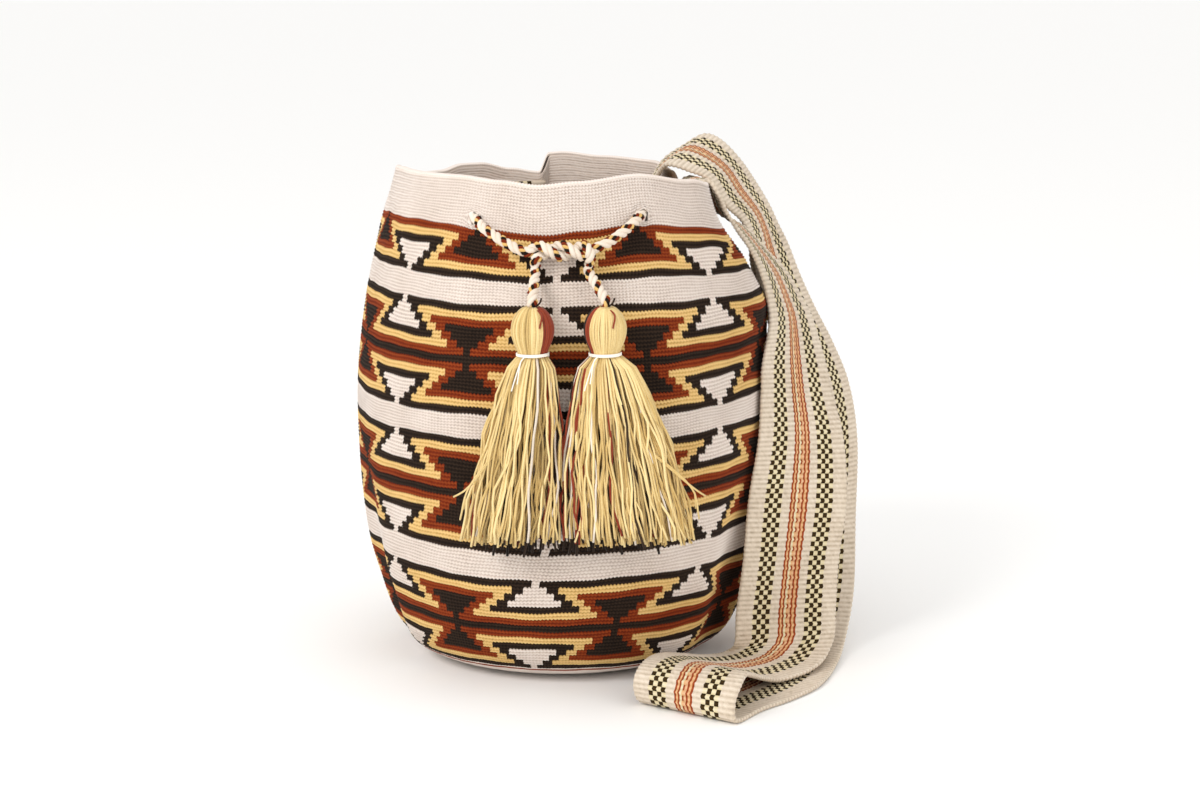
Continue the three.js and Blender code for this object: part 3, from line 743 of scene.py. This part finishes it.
# %% The strap's route and its weave
STRAP_STATIONS = [
    # sewn end, inside the back left wall
    [[-71, 61, 277], [-11, 93, 277]], [[-72, 63, 262], [-12, 95, 262]], [[-69, 60, 244], [-11, 92, 244]],
    # slack inside the bag
    [[-58, 48, 226], [-4, 84, 226]], [[-33, 16, 212], [5, 72, 212]], [[4, -8, 206], [28, 56, 206]],
    [[37, -25, 216], [51, 41, 212]], [[59, -30, 236], [60, 32, 232]], [[68, -30, 258], [65, 24, 255]],
    [[73, -28, 279.5], [66.5, 25, 274]],
    # over the rim, gathered to two thirds of its width
    [[85.5, -28, 287.5], [77, 28, 284.5]], [[92.5, -31, 279], [86, 23, 278.5]],
    [[96.5, -31.5, 270], [93, 14, 266]], [[103.8, -30, 258], [111, 13, 255]],
    # down the right side
    [[111.5, -32, 247], [124, 27, 241]], [[118.3, -30, 232], [139, 34, 224.5]],
    [[122.5, -32, 215], [149, 30, 207]], [[122.9, -36, 203], [154, 24, 196.6]],
    [[118.1, -48, 181], [160, 5, 173.5]], [[117.5, -50, 166], [163, 0, 158]],
    [[115.7, -55, 137], [169.5, -14, 131]], [[109.8, -60, 102], [170.7, -30.5, 95]],
    [[106.8, -65, 67], [166.2, -33, 60]], [[102.9, -66, 36], [164.4, -37.5, 30]],
    # creased on the ground, and forward to the turn
    [[102, -64.5, 16], [163, -47, 15]], [[96, -60, 8.5], [155, -72, 9]], [[88, -64, 8], [146, -88, 7]],
    [[79, -73, 10.5], [136, -99, 6.2]], [[70, -84, 14.5], [124.5, -109, 6.4]],
    [[60, -99, 19.5], [114.5, -120, 11]], [[52, -116, 23.5], [107, -138, 18.5]],
    [[45.5, -129, 23.5], [102, -154, 23.5]], [[41, -136, 19], [97.5, -166, 19.5]],
    [[40, -137, 11], [94.5, -170, 11.5]], [[44, -132, 2.4], [96, -171, 2.4]],
    # back underneath, flat on the ground
    [[58, -111, 1.8], [112, -148, 1.8]], [[75, -88, 1.8], [131, -128, 1.8]],
    [[91, -62, 1.9], [149, -103, 2.2]], [[103, -40, 4], [162, -67, 3]], [[116, -24, 13], [171, -34, 9]],
    # up the right side again, behind the first run
    [[125, -15, 36], [179.5, -3, 32]], [[132, -15, 72], [183, 26, 70]], [[142, -13, 118], [184.5, 38, 118]],
    [[142.4, -8.7, 151.5], [180, 48, 151.5]], [[136.6, 1.2, 176], [170.8, 60, 176]],
    [[126.5, 12, 197.4], [160, 70, 197.4]], [[119.8, 19, 217.5], [150.9, 78, 217.5]],
    [[116, 21, 233], [143.2, 80, 237]], [[114.5, 21, 248], [137.1, 84.8, 249.4]],
    [[109.7, 19, 259], [131, 82.5, 262]], [[98.9, 14, 269.5], [121.4, 76.2, 277.6]],
    # arched over the first run and the rim
    [[88.6, 6, 285], [111.9, 69.5, 291]], [[76.6, 8, 290.5], [100.4, 69.2, 303]],
    [[65.3, 13, 293.5], [90, 73, 307]], [[60, 20, 290], [78, 71, 301]], [[57, 25, 281], [63, 65.5, 291]],
    # sewn end, inside the right wall
    [[60, 25, 264], [54, 74, 272]], [[65, 25, 251], [56, 77, 256]], [[79, 24, 243], [59, 81, 246]],
    [[92, 24, 235.5], [61.5, 85, 236]], [[99, 25, 226], [63, 88, 226]], [[103, 26, 216], [64, 90, 216]],
]
STRAP_THICK, RIB_MM, STRAP_WIDTH = 2.8, 2.9, 68.0
STRAP_YARNS = {
    "cream": cotton("strap cotton, cream", "#806E59", "#CFBEA8", "#E2D4C2"),
    "dark": cotton("strap cotton, olive brown", "#110B03", "#2B1D0A", "#3F2E12", sheen=0.02),
    "rust": cotton("strap cotton, rust", "#4C1B0A", "#8C3B1C", "#A5512B", sheen=0.04),
    "peach": cotton("strap cotton, peach", "#8A5F3E", "#D2A075", "#E2B892"),
    "apricot": cotton("strap cotton, apricot", "#8A6038", "#D29C6A", "#E2B78A"),
    "straw": cotton("strap cotton, pale straw", "#84704A", "#D5C49C", "#E4D8B8"),
}
YARN_MM = 1.5
SIDE = [("cream", YARN_MM)] * 7
CHECKER = [("checker", YARN_MM)] * 8
BETWEEN = [("cream", YARN_MM)] * 4
CENTRE = [("rust", 1.3), ("apricot", 1.2), ("rust", 1.2), ("straw", 1.5), ("dashed", 1.2), ("peach", 1.6),
          ("rust", 1.3), ("apricot", 1.6), ("rust", 1.5)]
COLUMNS = SIDE + CHECKER + BETWEEN + CENTRE + BETWEEN + CHECKER + SIDE

stations = np.array(STRAP_STATIONS, float)
front, back = spline(stations[:, 0], 24), spline(stations[:, 1], 24)
centre = (front + back) / 2
strap_run = np.concatenate([[0], np.cumsum(np.linalg.norm(np.diff(centre, axis=0), axis=1))])
STRAP_LENGTH = strap_run[-1]
ribs = round(STRAP_LENGTH / RIB_MM)
at = np.linspace(0, STRAP_LENGTH, 2 * ribs + 1)
front, back = (np.stack([np.interp(at, strap_run, edge[:, k]) for k in range(3)], -1)
               for edge in (front, back))
print("strap:", round(float(STRAP_LENGTH)), "mm long,", ribs, "ribs,", len(COLUMNS), "columns of yarn")

# %% Weaving the strap
lines = np.concatenate([[0], np.cumsum([wide for _, wide in COLUMNS])])
across = lines / lines[-1] - 0.5
wide = back - front
face = np.cross(np.gradient(front, axis=0) + np.gradient(back, axis=0), wide)
face /= np.linalg.norm(face, axis=1, keepdims=True)
rise = np.where(np.arange(len(at)) % 2, 1.0, -1.0)
half_thick = STRAP_THICK / 2 - 0.3 + 0.3 * rise
outward = wide / np.linalg.norm(wide, axis=1, keepdims=True)


def across_strap(share, out, beyond=0.0):
    """A line of points along the strap, at a share of its width and mm out of its face."""
    return (front + wide * (share + 0.5) + face * np.asarray(out)[:, None]
            + outward * np.asarray(beyond)[:, None])


none = np.zeros(len(at))
loops = 0.35 + 0.3 * rise
# The coloured yarns step sideways a little from rib to rib, so their columns look wavy.
waver = 0.32 * np.sin(np.pi * np.arange(len(at)) / 2) / lines[-1]
steps = [np.where(abs(s) < 0.36, s + waver, s)[:, None] for s in across]
rings = [across_strap(s, half_thick, none) for s in steps]
rings += [across_strap(0.5, none, loops)]
rings += [across_strap(s, -half_thick, none) for s in steps[::-1]]
rings += [across_strap(-0.5, none, -loops)]
ring_points = np.stack(rings, 1)
width = ring_points.shape[1]
names = list(STRAP_YARNS)
count = len(COLUMNS)
shown = np.zeros((len(at) - 1, width), int)
for k, (kind, _) in enumerate(COLUMNS):
    cell = (k - len(SIDE)) // 2 if k < len(COLUMNS) / 2 else (len(COLUMNS) - 1 - k - len(SIDE)) // 2
    rib = np.arange(len(at) - 1) // 2
    pair = {"checker": ("dark", "straw"), "dashed": ("rust", "apricot")}.get(kind, (kind, kind))
    colour = np.where((cell + rib) % 2 == 0, names.index(pair[0]), names.index(pair[1]))
    shown[:, k] = colour
    shown[:, 2 * count + 1 - k] = colour
i, j = np.meshgrid(np.arange(len(at) - 1), np.arange(width), indexing="ij")
ring = lambda a, b: a * width + b % width
quads = np.stack([ring(i, j), ring(i, j + 1), ring(i + 1, j + 1), ring(i + 1, j)], -1).reshape(-1, 4)
u = np.stack([j, j + 1, j + 1, j], -1) / width
v = np.stack([i, i, i + 1, i + 1], -1) / (len(at) - 1)
# Painted shade: darker in the valleys between ribs and lighter on their crests, plus a random spread.
tone = np.clip(0.45 + 0.16 * rise[:, None] + random.normal(0, 0.05, (len(at), width)), 0, 1)
caps = np.stack([np.arange(width)[::-1], (len(at) - 1) * width + np.arange(width)])
cap_uv = np.full((2 * width, 2), 0.5) + 0.001 * np.arange(2 * width)[:, None]
strap = new_mesh("strap_band", ring_points.reshape(-1, 3), quads, caps,
                 np.concatenate([shown.ravel(), [0, 0]]),
                 np.vstack([np.stack([u, v], -1).reshape(-1, 2), cap_uv]), tone.ravel())
for material in STRAP_YARNS.values():
    strap.data.materials.append(material)
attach(strap, "bag")
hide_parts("strap")
print("strap mesh:", len(strap.data.polygons), "faces")

# %% [markdown]
# The strap's two ends are sewn to the inside of the wall with rows of plain running stitches.

# %% Sewing the ends
def running_stitches(name, node, start, end, side):
    """Three rows of short stitches across a strap end."""
    paths = []
    for share in (0.15, 0.5, 0.85):
        place = (start + (end - start) * share) * (len(stations) - 1) * 24
        k = int(round(np.interp(place, np.arange(len(strap_run)), strap_run) / STRAP_LENGTH * (len(at) - 1)))
        for left in np.linspace(-0.4, 0.34, 12):
            t = np.linspace(0, 1, 7)
            arch = side * (STRAP_THICK / 2 + 0.25 + 0.75 * np.sin(np.pi * t))
            paths.append([front[k] + wide[k] * (left + 0.05 * s + 0.5) + face[k] * h
                          for s, h in zip(t, arch)])
    made = strands(name, paths, np.full(len(paths), 0.5), 6, np.zeros(len(paths), int), [THREAD],
                   np.full(len(paths), 0.5))
    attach(made, "bag")
    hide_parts(node)


running_stitches("end_stitches_back", "strap_stitching_back", 0.006, 0.012, 1)
running_stitches("end_stitches_right", "strap_stitching_right", 0.988, 0.994, 1)
print("both strap ends are sewn")
